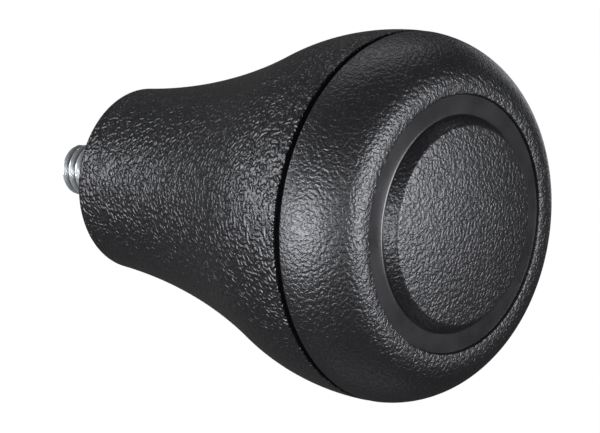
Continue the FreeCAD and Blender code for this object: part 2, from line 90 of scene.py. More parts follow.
def colour(name, description, default):
    """A colour property, in linear values."""
    return bpy.props.FloatVectorProperty(
        name=name, description=description, default=default, subtype="COLOR", size=3,
        min=0.0, max=1.0,
    )


class KnobForm(bpy.types.PropertyGroup):
    """Sizes of the grip, its cap and the stud."""

    head_radius: millimetres("Head radius", "Widest radius, at the seam", 27.5)
    base_lift: millimetres("Base lift", "Seat plane to the foot of the bell", 2.7)
    bell_height: millimetres("Bell height", "Foot of the bell to the middle of the seam", 54.0)
    foot_wall: millimetres("Foot wall", "Wall round the lower bearing", 2.9)
    shoulder_radius: millimetres("Shoulder radius", "Convex arc under the seam", 40.9)
    shoulder_sweep: degrees("Shoulder sweep", "Turn of the shoulder's arc before the waist", 24.95)
    wall: millimetres("Wall", "Moulded wall of shell and cap", 2.8)
    foot_round: millimetres("Foot round", "Rounding at the foot of the bell", 0.6)
    seam_gap: millimetres("Seam gap", "Open groove between shell and cap", 1.0)
    seam_depth: millimetres("Seam depth", "Depth of the open groove", 1.6)
    seam_round: millimetres("Seam round", "Rounding on both lips of the seam", 0.3)
    side_radius: millimetres("Side radius", "First arc of the cap, from the seam", 12.5)
    side_sweep: degrees("Side sweep", "Turn of the first arc", 23.0)
    brow_radius: millimetres("Brow radius", "Second arc of the cap", 11.4)
    brow_sweep: degrees("Brow sweep", "Turn of the second arc", 25.0)
    crest_radius: millimetres("Crest radius", "Third arc of the cap", 5.8)
    crest_sweep: degrees("Crest sweep", "Turn of the third arc", 49.0)
    ring_drop: millimetres("Ring drop", "Smooth ring below the crest", 0.5)
    ring_inset: millimetres("Ring inset", "Slope of the step down to the ring", 0.15)
    ring_width: millimetres("Ring width", "From the crest's lip to the foot of the boss", 3.1)
    lip_round: millimetres("Lip round", "Rounding on the crest's inner lip", 0.25)
    boss_draft: millimetres("Boss draft", "Lean of the boss's wall over its height", 1.2)
    boss_height: millimetres("Boss height", "Height of the boss's wall", 1.9)
    boss_crown: millimetres("Boss crown", "Rise of the boss's dome", 1.1)
    boss_foot_round: millimetres("Boss foot round", "Smooth fillet at the boss's foot", 0.45)
    boss_edge_round: millimetres("Boss edge round", "Rounding at the boss's rim", 0.7)
    pocket_radius: millimetres("Pocket radius", "Bore that holds the bearings", 11.1225)
    stud_radius: millimetres("Stud radius", "Over the crests of the thread", 3.969)
    thread_pitch: millimetres("Thread pitch", "From one crest to the next", 1.4111)
    thread_depth: millimetres("Thread depth", "From crest to root", 0.85)


class KnobInside(bpy.types.PropertyGroup):
    """Sizes of what the grip and the cap hide, and of the stud above its thread."""

    hub_wall: millimetres("Hub wall", "Wall round the bearings inside the bell", 2.4)
    hub_land: millimetres("Hub land", "Shoulder that stops each outer ring", 1.3)
    hub_lip: millimetres("Hub lip", "Hub above the upper bearing", 0.5)
    mouth_chamfer: millimetres("Mouth chamfer", "Bevel at the mouth of the lower pocket", 0.5)
    cavity_floor: millimetres("Cavity floor", "Bottom of the hollow between hub and wall", 24.0)
    recess_depth: millimetres("Recess depth", "Straight recess for the cap's skirt", 8.0)
    rib_thickness: millimetres("Rib thickness", "Ribs between hub and wall", 1.8)
    rib_drop: millimetres("Rib drop", "Ribs end this far under the top of the hub", 3.0)
    skirt_length: millimetres("Skirt length", "Cap's skirt below the rim", 7.0)
    skirt_wall: millimetres("Skirt wall", "Wall of the cap's skirt", 1.8)
    skirt_play: millimetres("Skirt play", "Gap between skirt and recess", 0.2)
    snap_lift: millimetres("Snap lift", "Snap bead above the skirt's lower edge", 1.2)
    snap_height: millimetres("Snap height", "Height of the snap bead", 1.2)
    snap_bite: millimetres("Snap bite", "How far the snap bead stands out", 0.45)
    slot_width: millimetres("Slot width", "Slots that let the skirt spring", 2.4)
    slot_height: millimetres("Slot height", "Height of the skirt's slots", 4.6)
    ceiling_radius: millimetres("Ceiling radius", "Corner between skirt and ceiling", 4.0)
    stiffener_depth: millimetres("Stiffener depth", "Ribs under the cap's ceiling", 2.6)
    stiffener_thickness: millimetres("Stiffener thickness", "Thickness of the ceiling's ribs", 1.4)
    stud_chamfer: millimetres("Stud chamfer", "Bevel at both ends of the stud", 0.8)
    collar_flats: millimetres("Collar flats", "Across the flats of the hexagonal collar", 12.7)
    collar_height: millimetres("Collar height", "Height of the hexagonal collar", 3.2)
    corner_bevel: millimetres("Corner bevel", "Bevel circle inside the flats", 0.25)
    land_width: millimetres("Land width", "Turned land round the journal", 1.45)
    slip_fit: millimetres("Slip fit", "Journal under the bearings' bore", 0.01)
    journal_short: millimetres("Journal short", "Journal below the upper ring's face", 0.4)
    journal_edge: millimetres("Journal edge", "Bevel at the journal's top", 0.3)


class KnobLook(bpy.types.PropertyGroup):
    """Colours and grain."""

    plastic: colour("Plastic", "Moulded black of the grip", (0.003, 0.003, 0.0032))
    plastic_worn: colour("Rubbed plastic", "Crests of the grain", (0.005, 0.005, 0.0055))
    zinc: colour("Zinc", "Plated steel of the stud and nut", (0.58, 0.60, 0.60))
    zinc_warm: colour("Warm zinc", "Faint yellow of the plating", (0.65, 0.64, 0.54))
    # Painted shade: this dark colour is painted into the thread's roots, from near the stud's end up,
    # where shade falls
    painted_root_shade: colour("Film", "Oily dirt in the roots of the thread", (0.12, 0.122, 0.12))
    painted_root_shade_from: millimetres("Film from", "Radius in the thread up to which the film is full", 3.25)
    painted_root_shade_to: millimetres("Film to", "Radius in the thread at which the film ends", 3.88)
    painted_root_shade_start: millimetres("Film start", "Height of the film's start, above the stud's end", -11.7)
    steel: colour("Bearing steel", "Ground rings and balls", (0.56, 0.57, 0.58))
    nylon: colour("Nylon", "Ball cages", (0.42, 0.36, 0.24))
    nylon_blue: colour("Nut ring", "Nylon ring in the nut", (0.03, 0.09, 0.30))
    ridge_size: millimetres("Ridge size", "Folds of the moulded grain", 0.85)
    pit_size: millimetres("Pit size", "Fine creases of the moulded grain", 0.53)
    grip_ridge: millimetres("Grip ridge", "Depth of the folds on the grip", 0.16)
    grip_pit: millimetres("Grip pit", "Depth of the fine creases on the grip", 0.02)
    cap_ridge: millimetres("Cap ridge", "Depth of the folds on the cap", 0.012)
    cap_pit: millimetres("Cap pit", "Depth of the fine creases on the cap", 0.063)
    grip_rough: number("Grip roughness", "Roughness in the grip's creases", 0.38)
    cap_rough: number("Cap roughness", "Roughness in the cap's creases", 0.42)
    polish: number("Polish", "How much less rough the crests are, where hands rub them", 0.06)
    crease_edge: span("Crease edge", "Noise values between which a crease rises", 0.28, 0.64)
    plain_rough: span("Plain roughness", "Range of roughness in the smooth ring", 0.26, 0.31)
    plain_patch: millimetres("Plain patch", "Size of the rubbed patches in the smooth ring", 6.0)
    plain_texture: millimetres("Plain texture", "Size of the smooth ring's satin texture", 0.25)
    plain_depth: millimetres("Plain depth", "Depth of the satin texture", 0.004)
    zinc_metal: number("Zinc metal", "Share of metal in the plating, the rest is bloom", 0.82)
    zinc_rough: span("Zinc roughness", "Range of roughness in the plating", 0.29, 0.33)
    zinc_patch: millimetres("Zinc patch", "Size of the yellow patches", 5.0)
    zinc_smear: millimetres("Zinc smear", "Size of the duller smears", 1.2)
    ground_rough: span("Ground roughness", "Range of roughness in bearing steel", 0.14, 0.26)
    ground_mark: millimetres("Ground mark", "Length of the turning marks", 1.2)
    ground_depth: millimetres("Ground depth", "Depth of the turning marks", 0.002)
    sheet_rough: span("Sheet roughness", "Range of roughness in the shields", 0.28, 0.42)
    sheet_mark: millimetres("Sheet mark", "Length of the shields' rolling marks", 1.0)
    sheet_depth: millimetres("Sheet depth", "Depth of the rolling marks", 0.004)
    nylon_rough: span("Nylon roughness", "Range of roughness in the nylon", 0.42, 0.55)
    nylon_mottle: millimetres("Nylon mottle", "Size of the nylon's pale patches", 1.5)
    nylon_depth: millimetres("Nylon depth", "Depth of the nylon's pale patches", 0.01)
    nylon_glow: number("Nylon glow", "Share of the light that goes into the nylon", 0.1)
    nylon_reach: millimetres("Nylon reach", "How far light goes into the nylon", 0.4)


class Studio(bpy.types.PropertyGroup):
    """Camera and lights."""

    elevation: degrees("Elevation", "Height of the camera's line of sight", 41.82)
    roll: degrees("Roll", "Turn of the camera about its line of sight", 98.58)
    lens: number("Lens", "Focal length in millimetres on a 36 mm sensor", 240.0)
    aim_height: millimetres("Aim height", "Point that camera and lights aim at, the seam", 56.7)
    camera_distance: millimetres("Camera distance", "From the point that the camera aims at", 587.9)
    shift_left: millimetres("Shift left", "Camera beside its aim, in the picture", 15.147)
    shift_up: millimetres("Shift up", "Camera above its aim, in the picture", 0.017)
    left_turn: degrees("Left turn", "Left light, right of the camera's line", -44.0)
    left_rise: degrees("Left rise", "Left light, above the camera's level", -9.0)
    left_power: number("Left power", "Watts of the left light, which draws the shoulder", 4.6)
    left_width: millimetres("Left width", "Width of the left light", 400.0)
    right_turn: degrees("Right turn", "Right light, right of the camera's line", 61.0)
    right_rise: degrees("Right rise", "Right light, above the camera's level", -4.0)
    right_power: number("Right power", "Watts of the right light, which draws crest and boss", 3.45)
    right_width: millimetres("Right width", "Width of the right light", 310.0)
    front_turn: degrees("Front turn", "Front light, right of the camera's line", -2.0)
    front_rise: degrees("Front rise", "Front light, above the camera's level", -9.0)
    front_power: number("Front power", "Watts of the front light, which fills the valley", 0.65)
    front_width: millimetres("Front width", "Width of the front light", 200.0)
    far_turn: degrees("Far turn", "Far light, right of the camera's line", -92.0)
    far_rise: degrees("Far rise", "Far light, above the camera's level", 12.0)
    far_power: number("Far power", "Watts of the far light, which draws the bell", 1.1)
    far_width: millimetres("Far width", "Width of the far light", 200.0)
    rim_turn: degrees("Rim turn", "Rim light, right of the camera's line", 155.0)
    rim_rise: degrees("Rim rise", "Rim light, above the camera's level", 12.0)
    rim_power: number("Rim power", "Watts of the rim light, behind the crest", 0.15)
    rim_width: millimetres("Rim width", "Width of the rim light", 200.0)
    above_turn: degrees("Above turn", "Light above, right of the camera's line", 0.0)
    above_rise: degrees("Above rise", "Light above, over the camera's level", 107.0)
    above_power: number("Above power", "Watts of the light above, on the grain at the top", 0.45)
    above_width: millimetres("Above width", "Width of the light above", 400.0)
    below_turn: degrees("Below turn", "Light below, right of the camera's line", 0.0)
    below_rise: degrees("Below rise", "Light below, over the camera's level", -107.0)
    below_power: number("Below power", "Watts of the light below, on the grain at the bottom", 0.12)
    below_width: millimetres("Below width", "Width of the light below", 400.0)
    light_tint: colour("Light tint", "Colour of every light", (0.925, 0.935, 1.0))
    light_height: millimetres("Light height", "Height of every light", 190.0)
    light_distance: millimetres("Light distance", "From the middle of the knob", 450.0)
    world_light: number("World light", "Even light on the knob", 0.15)
    world_gloss: number("World gloss", "The world as the knob's reflections show it", 0.06)
    floor_gloss: number("Floor gloss", "The floor as the knob's reflections show it", 0.10)
    floor_level: millimetres("Floor level", "Height of the floor", -350.0)
    floor_glow: number("Floor glow", "The floor's own light, as the camera sees it", 1.03)
    floor_cover: number("Floor cover", "Share of the floor's own light over its shaded grey", 0.95)


# Surfaces

# Flat strip beside an edge, and the stretch that a rounding takes for each unit of its radius
EDGE_MARGIN = 0.25 * MM
ROUNDING_REACH = 1.2
ROUNDING_POINTS = 9
LEAST_ARC_STEPS = 6
# Distances that count as none, and the turn between faces from which an edge is sharp
SAME_POINT = 1e-7
NO_LENGTH = 1e-8
SHARP_TURN = math.radians(32)
# Fields of an outline's corner, after across and up
BEND, ROUNDING, SKIN = 2, 3, 4


def outline(corners, spacing):
    """Points along a closed outline in the plane of radius and height.

    Each corner is (across, up, bend, rounding, skin). A run leads straight to the next corner, or
    along an arc of radius bend, which turns left where bend is positive. Rounding replaces the
    corner by a curve whose ends lie radius x tan(half the turn) from it, with the skin of the run
    before it. Gives the points and, for each, the skin number of the stretch that starts there.
    """
    following = corners[1:] + corners[:1]
    runs = [run_points(here, there, spacing) for here, there in zip(corners, following)]
    pieces = []
    skins = []
    for index, corner in enumerate(corners):
        before, after = runs[index - 1], runs[index]
        if corner[ROUNDING]:
            curve = rounded(before, after, corner[ROUNDING])
            pieces.append(curve)
            skins.append(np.full(len(curve) - 1, corners[index - 1][SKIN]))
        else:
            pieces.append(after[:1])
        inner = clear_of(after, corner, following[index])
        pieces.append(inner)
        skins.append(np.full(len(inner) + 1, corner[SKIN]))
    return np.concatenate(pieces), np.concatenate(skins)


def run_points(here, there, spacing):
    """Points on one run of an outline, both ends included.

    A straight run has a point close to either end, clear of the roundings, so that it shades flat.
    """
    start, end = np.array(here[:2]), np.array(there[:2])
    chord = end - start
    length = np.hypot(*chord)
    bend = here[BEND]
    if not bend:
        near = EDGE_MARGIN + ROUNDING_REACH * here[ROUNDING]
        far = length - EDGE_MARGIN - ROUNDING_REACH * there[ROUNDING]
        stops = [0, near, far, length] if near < far else [0, length]
        return start + chord * np.array(stops)[:, None] / length
    half = math.asin(min(length / 2 / abs(bend), 1.0))
    left = np.array([-chord[1], chord[0]]) / length
    centre = (start + end) / 2 + left * math.copysign(math.cos(half) * abs(bend), bend)
    steps = max(int(2 * half * abs(bend) / spacing), LEAST_ARC_STEPS)
    turn = np.linspace(-half, half, steps + 1)
    turn = turn if bend > 0 else -turn
    spoke = -left * math.copysign(abs(bend), bend)
    cosine, sine = np.cos(turn)[:, None], np.sin(turn)[:, None]
    return centre + spoke * cosine + np.array([-spoke[1], spoke[0]]) * sine


def setback(before, after, rounding):
    """Distance from a corner at which its rounding begins, and the unit directions there."""
    arriving = before[-1] - before[-2]
    leaving = after[1] - after[0]
    arriving = arriving / np.hypot(*arriving)
    leaving = leaving / np.hypot(*leaving)
    turn = math.acos(max(-1.0, min(1.0, float(arriving @ leaving))))
    return rounding * math.tan(turn / 2), arriving, leaving


def rounded(before, after, rounding):
    """The curve that replaces a corner: a quadratic blend of the points one setback away."""
    distance, arriving, leaving = setback(before, after, rounding)
    corner = after[0]
    t = np.linspace(0, 1, ROUNDING_POINTS)[:, None]
    start, end = corner - arriving * distance, corner + leaving * distance
    return start * (1 - t) ** 2 + corner * 2 * t * (1 - t) + end * t ** 2


def clear_of(run, corner, following):
    """The inner points of a run that lie clear of the rounding at both its ends."""
    inner = run[1:-1]
    after = np.hypot(*(inner - run[0]).T) > ROUNDING_REACH * corner[ROUNDING]
    before = np.hypot(*(inner - run[-1]).T) > ROUNDING_REACH * following[ROUNDING]
    return inner[after & before]


def turned(path, sides):
    """A path carried round the upright axis: its radius turns through the angle, its height stays."""
    angle = np.linspace(0, 2 * np.pi, sides, endpoint=False)
    across, up = path[:, :1], path[:, 1:]
    return np.stack([across * np.cos(angle), across * np.sin(angle), up + 0 * angle], axis=-1)


def webs(corners, thickness, count):
    """Slabs of one upright outline, each half its thickness either side of its own half-plane.

    Gives a grid for each slab: its rows are the two faces, shrunk to a line at either end to close
    them, and its columns are the outline's corners.
    """
    corners = np.array(corners)
    middle = corners.mean(axis=0)
    rings = np.stack([middle + 0 * corners, corners, corners, middle + 0 * corners])
    offset = np.array([-0.5, -0.5, 0.5, 0.5])[:, None] * thickness
    grids = []
    for angle in np.arange(count) * 2 * np.pi / count:
        across, up = rings[..., 0], rings[..., 1]
        grids.append(np.stack([
            across * np.cos(angle) - offset * np.sin(angle),
            across * np.sin(angle) + offset * np.cos(angle),
            up,
        ], axis=-1))
    return grids


def quads(rows, columns, close_rows):
    """Corner numbers of the faces of a grid whose columns close up, and its rows too if asked."""
    row = np.arange(rows if close_rows else rows - 1)[:, None]
    column = np.arange(columns)[None, :]
    next_row, next_column = (row + 1) % rows, (column + 1) % columns
    faces = np.stack([
        row * columns + column,
        row * columns + next_column,
        next_row * columns + next_column,
        next_row * columns + column,
    ], axis=-1)
    return faces.reshape(-1, 4)


def mesh_piece(name, grids, close_rows, skins, finishes):
    """One object from several grids of points. A face takes the skin of its row."""
    points, faces, marks = [], [], []
    start = 0
    for grid, closed, skin in zip(grids, close_rows, skins):
        rows, columns = grid.shape[:2]
        found = quads(rows, columns, closed)
        points.append(grid.reshape(-1, 3))
        faces.append(found + start)
        marks.append(np.repeat(np.resize(skin, rows)[:len(found) // columns], columns))
        start += rows * columns
    mesh = bpy.data.meshes.new(name)
    mesh.from_pydata(np.concatenate(points).tolist(), [], np.concatenate(faces).tolist())
    for finish in finishes:
        mesh.materials.append(finish)
    mesh.polygons.foreach_set("material_index", np.concatenate(marks).astype(np.int32))
    weld(mesh)
    piece = bpy.data.objects.new(name, mesh)
    bpy.context.scene.collection.objects.link(piece)
    return piece


def weld(mesh):
    """Merges points that coincide, turns the faces outwards and shades all but sharp edges smooth."""
    work = bmesh.new()
    work.from_mesh(mesh)
    bmesh.ops.remove_doubles(work, verts=work.verts, dist=SAME_POINT)
    bmesh.ops.dissolve_degenerate(work, edges=work.edges, dist=NO_LENGTH)
    bmesh.ops.recalc_face_normals(work, faces=work.faces)
    work.to_mesh(mesh)
    work.free()
    mesh.polygons.foreach_set("use_smooth", np.ones(len(mesh.polygons), dtype=bool))
    mesh.set_sharp_from_angle(angle=SHARP_TURN)


# Finishes

# Colour sockets of the mixing node
MIX_FIRST, MIX_SECOND, MIX_COLOUR = 6, 7, 2
# Noise values between which a finish changes: most of them, and those of the yellow patches
MOST_NOISE = (0.3, 0.7)
YELLOWED = (0.5, 0.8)
# Detail of a noise, and how strongly each finer layer of it counts
SOFT, DETAILED, FOLD_DETAIL = 1.0, 3.0, 0.4
NOISE_ROUGHNESS = 0.55
# Share of a fold's height over which it rises
FOLD_REACH = 0.5
# How much narrower than long the marks of turning and of rolling are
TURNED_SQUEEZE = (1.0, 1.0, 14.0)
ROLLED_SQUEEZE = (1.0, 9.0, 1.0)
PALER = 1.25


class Value:
    """A shader socket on which arithmetic can be written."""

    def __init__(self, finish, socket):
        self.finish = finish
        self.socket = socket

    def __add__(self, other):
        return self.finish.calculate("ADD", self, other)

    __radd__ = __add__

    def __sub__(self, other):
        return self.finish.calculate("SUBTRACT", self, other)

    def __rsub__(self, other):
        return self.finish.calculate("SUBTRACT", other, self)

    def __mul__(self, other):
        return self.finish.calculate("MULTIPLY", self, other)

    __rmul__ = __mul__


class Finish:
    """One material, whose nodes are added by a single method."""

    def __init__(self, name, tree=None):
        if tree is None:
            self.material = bpy.data.materials.new(name)
            self.material.use_nodes = True
            tree = self.material.node_tree
        self.tree = tree
        self.tree.nodes.clear()

    def node(self, kind, settings, sockets, output=0):
        """Adds a node: first its settings, then the values or links of its sockets."""
        node = self.tree.nodes.new(kind)
        for name, value in settings.items():
            setattr(node, name, value)
        for name, value in sockets.items():
            if isinstance(value, Value):
                self.tree.links.new(value.socket, node.inputs[name])
            else:
                node.inputs[name].default_value = value
        return Value(self, node.outputs[output])

    def calculate(self, operation, left, right):
        """Arithmetic on values."""
        return self.node("ShaderNodeMath", {"operation": operation}, {0: left, 1: right})

    def place(self):
        """Place on the object, in metres."""
        return self.node("ShaderNodeTexCoord", {}, {}, "Object")

    def step(self, value, low, high, start=0.0, end=1.0):
        """Eases from start to end while the value goes from low to high."""
        return self.node("ShaderNodeMapRange", {"interpolation_type": "SMOOTHSTEP"}, {
            "Value": value, "From Min": low, "From Max": high, "To Min": start, "To Max": end,
        })

    def noise(self, place, size, detail=2.0):
        """Smooth random values with patches about as large as size."""
        return self.node("ShaderNodeTexNoise", {}, {
            "Vector": place, "Scale": 1 / size, "Detail": detail, "Roughness": NOISE_ROUGHNESS,
        })

    def blend(self, share, first, second):
        """Mixes two colours by a share."""
        return self.node("ShaderNodeMix", {"data_type": "RGBA"}, {
            0: share, MIX_FIRST: opaque(first), MIX_SECOND: opaque(second),
        }, MIX_COLOUR)

    def bump(self, height, depth=1.0):
        """Surface direction from a height in metres, or from a share of this depth."""
        return self.node("ShaderNodeBump", {}, {
            "Strength": 1.0, "Distance": depth, "Height": height,
        })

    def close(self, **sockets):
        """Ends the material in one surface shader and gives the material."""
        named = {name.replace("_", " "): value for name, value in sockets.items()}
        self.end(self.node("ShaderNodeBsdfPrincipled", {}, named))
        return self.material

    def end(self, surface):
        """Links the surface to the output."""
        output = self.tree.nodes.new("ShaderNodeOutputMaterial")
        self.tree.links.new(surface.socket, output.inputs["Surface"])


def opaque(value):
    """A colour as four numbers, or a value as it is."""
    return value if isinstance(value, Value) else (*value, 1.0)


def grained_plastic(look, name, ridge_depth, pit_depth, rough):
    """Black plastic with a moulded leather grain: round pebbles, folded up between sharp creases."""
    finish = Finish(name)
    place = finish.place()
    hill = finish.noise(place, look.ridge_size, FOLD_DETAIL)
    fold = finish.calculate("ABSOLUTE", hill * 2.0 - 1.0, 0.0)
    ridges = finish.step(fold, 0.0, FOLD_REACH)
    pits = finish.step(finish.noise(place, look.pit_size, SOFT), *look.crease_edge)
    return finish.close(
        Base_Color=finish.blend(pits, look.plastic, look.plastic_worn),
        Roughness=finish.step(pits, 0.0, 1.0, rough, rough - look.polish),
        Normal=finish.bump(ridges * ridge_depth + pits * pit_depth),
    )


def smooth_plastic(look):
    """The same plastic where the mould was left plain: a faint satin texture."""
    finish = Finish("smooth_plastic")
    place = finish.place()
    fine = finish.noise(place, look.plain_texture, DETAILED)
    broad = finish.noise(place, look.plain_patch)
    return finish.close(
        Base_Color=finish.blend(broad, look.plastic, look.plastic_worn),
        Roughness=finish.step(broad, *MOST_NOISE, *look.plain_rough),
        Normal=finish.bump(fine, look.plain_depth),
    )


def plated_steel(look):
    """Zinc plated steel: bright, faintly yellow in patches, with painted shade darkening the thread's
    roots.
    """
    finish = Finish("plated_steel")
    place = finish.place()
    tint = finish.noise(place, look.zinc_patch)
    smear = finish.noise(place, look.zinc_smear, SOFT)
    across = finish.node("ShaderNodeVectorMath", {"operation": "MULTIPLY"}, {
        0: place, 1: (1.0, 1.0, 0.0),
    })
    radius = finish.node("ShaderNodeVectorMath", {"operation": "LENGTH"}, {0: across}, 1)
    height = finish.node("ShaderNodeSeparateXYZ", {}, {"Vector": place}, "Z")
    # Painted shade: the thread's roots, above a height near the stud's end, take the dark colour
    root = finish.step(radius, look.painted_root_shade_from, look.painted_root_shade_to, 1.0, 0.0)
    above_end = finish.calculate("GREATER_THAN", height, look.painted_root_shade_start)
    plating = finish.blend(finish.step(tint, *YELLOWED), look.zinc, look.zinc_warm)
    return finish.close(
        Base_Color=finish.blend(root * above_end, plating, look.painted_root_shade),
        Metallic=look.zinc_metal,
        Roughness=finish.step(smear, *MOST_NOISE, *look.zinc_rough),
    )


def bearing_steel(look):
    """Ground bearing steel with fine turning marks round the axis."""
    finish = Finish("bearing_steel")
    place = finish.place()
    drawn = finish.node("ShaderNodeMapping", {}, {"Vector": place, "Scale": TURNED_SQUEEZE})
    marks = finish.noise(drawn, look.ground_mark, DETAILED)
    return finish.close(
        Base_Color=opaque(look.steel),
        Metallic=1.0,
        Roughness=finish.step(marks, *MOST_NOISE, *look.ground_rough),
        Normal=finish.bump(marks, look.ground_depth),
    )


def shield_steel(look):
    """Pressed bearing shield: rolled sheet with faint oil."""
    finish = Finish("shield_steel")
    place = finish.place()
    rolled = finish.node("ShaderNodeMapping", {}, {"Vector": place, "Scale": ROLLED_SQUEEZE})
    grain = finish.noise(rolled, look.sheet_mark, DETAILED)
    return finish.close(
        Base_Color=opaque(look.steel),
        Metallic=1.0,
        Roughness=finish.step(grain, *MOST_NOISE, *look.sheet_rough),
        Normal=finish.bump(grain, look.sheet_depth),
    )


def moulded_nylon(look, name, tint):
    """Slightly waxy moulded nylon."""
    finish = Finish(name)
    place = finish.place()
    mottle = finish.noise(place, look.nylon_mottle, DETAILED)
    paler = tuple(min(1.0, share * PALER) for share in tint)
    return finish.close(
        Base_Color=finish.blend(mottle, tint, paler),
        Roughness=finish.step(mottle, *MOST_NOISE, *look.nylon_rough),
        Subsurface_Weight=look.nylon_glow,
        Subsurface_Scale=look.nylon_reach,
        Normal=finish.bump(mottle, look.nylon_depth),
    )


# Pieces

PLAIN, GRAINED = 0, 1
RIB_COUNT = 6
SLOT_COUNT = 6
LOWER_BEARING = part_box("lower_inner_ring")
UPPER_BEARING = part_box("upper_inner_ring")
SPACER_WALL = 1.4 * MM
# Shares of half a pitch that the thread's crest and flank take, and how far the flank bows
CREST_SHARE = 0.12
FLANK_SHARE = 0.72
FLANK_BOW = 0.2
# Rows of points in a pitch of each thread
MOUNTING_ROWS, FASTENING_ROWS = 22, 12
# Distance between points on an arc, and how many stand round the axis
GRIP_SPACING, GRIP_SIDES = 0.6 * MM, 256
CAP_SPACING, CAP_SIDES = 0.4 * MM, 360
STUD_SIDES = 180
# Rows on the collar's bevel and between its bevels, as shares of its height, and the bevel's rise
BEVEL_ROWS = np.linspace(0.0, 0.16, 6)
FLAT_ROWS = np.linspace(0.2, 0.8, 4)
BEVEL_SLOPE = math.sqrt(3)


def bell_arcs(form):
    """Centres and radii of the bell's two arcs, which meet smoothly where the shoulder ends."""
    seam = form.base_lift + form.bell_height
    across, down = math.cos(form.shoulder_sweep), math.sin(form.shoulder_sweep)
    middle = form.head_radius - form.shoulder_radius
    meet = (middle + form.shoulder_radius * across, seam - form.shoulder_radius * down)
    run = meet[0] - (form.pocket_radius + form.foot_wall)
    fall = meet[1] - form.base_lift
    hollow = (run * run + fall * fall) / (2 * (fall * down - run * across))
    return middle, hollow, meet, (meet[0] + hollow * across, meet[1] - hollow * down)


def leg(hypotenuse, other):
    """Second leg of a right-angled triangle."""
    return math.sqrt(hypotenuse * hypotenuse - other * other)


def wall_radius(form, height, inset):
    """Radius of the bell's hollow part at a height, this far inside its outer surface."""
    hollow, far = bell_arcs(form)[1::2]
    return far[0] - leg(hollow + inset, height - far[1])


def build_grip(form, inside, finishes):
    """The bell with its foot, its seam lip, the recess for the cap, the hub and its ribs."""
    middle, hollow, meet = bell_arcs(form)[:3]
    wall = form.wall
    base = form.base_lift
    seam = base + form.bell_height
    rim = seam - form.seam_gap / 2
    pocket = form.pocket_radius
    recess = form.head_radius - wall
    recess_floor = rim - inside.recess_depth
    groove = recess + inside.snap_bite
    groove_low = rim - inside.skirt_length + inside.snap_lift - inside.skirt_play
    groove_high = groove_low + inside.snap_height + 2 * inside.skirt_play
    inner_bend = form.shoulder_radius - wall
    inner_meet = middle + inner_bend * math.cos(form.shoulder_sweep)
    inner_meet_up = seam - inner_bend * math.sin(form.shoulder_sweep)
    floor = inside.cavity_floor
    hub = pocket + inside.hub_wall
    hub_bore = pocket - inside.hub_land
    hub_top = UPPER_BEARING[1][2] + inside.hub_lip
    land_low, land_high = LOWER_BEARING[1][2], UPPER_BEARING[0][2]
    corners = [
        (pocket + inside.mouth_chamfer, base, 0, 0, GRAINED),
        (pocket + form.foot_wall, base, -hollow, form.foot_round, GRAINED),
        (meet[0], meet[1], form.shoulder_radius, 0, GRAINED),
        (middle + leg(form.shoulder_radius, form.seam_gap / 2), rim, 0, form.seam_round, PLAIN),
        (recess, rim, 0, 0, PLAIN),
        (recess, groove_high, 0, 0, PLAIN),
        (groove, groove_high, 0, 0, PLAIN),
        (groove, groove_low, 0, 0, PLAIN),
        (recess, groove_low, 0, 0, PLAIN),
        (recess, recess_floor, 0, 0, PLAIN),
        (middle + leg(inner_bend, seam - recess_floor), recess_floor, -inner_bend, 0, PLAIN),
        (inner_meet, inner_meet_up, hollow + wall, 0, PLAIN),
        (wall_radius(form, floor, wall), floor, 0, 0, PLAIN),
        (hub, floor, 0, 0, PLAIN),
        (hub, hub_top, 0, 0, PLAIN),
        (pocket, hub_top, 0, 0, PLAIN),
        (pocket, land_high, 0, 0, PLAIN),
        (hub_bore, land_high, 0, 0, PLAIN),
        (hub_bore, land_low, 0, 0, PLAIN),
        (pocket, land_low, 0, 0, PLAIN),
        (pocket, base + inside.mouth_chamfer, 0, 0, PLAIN),
    ]
    path, skins = outline(corners, GRIP_SPACING)
    rib_root = hub - inside.hub_wall / 2
    rib_foot, rib_top = floor - wall / 2, hub_top - inside.rib_drop
    ribs = webs([
        (rib_root, rib_foot),
        (wall_radius(form, rib_foot, wall / 2), rib_foot),
        (wall_radius(form, rib_top, wall / 2), rib_top),
        (rib_root, rib_top),
    ], inside.rib_thickness, RIB_COUNT)
    grids = [turned(path, GRIP_SIDES)] + ribs
    closed = [True] + [False] * len(ribs)
    return mesh_piece("grip", grids, closed, [skins] + [PLAIN] * len(ribs), finishes)


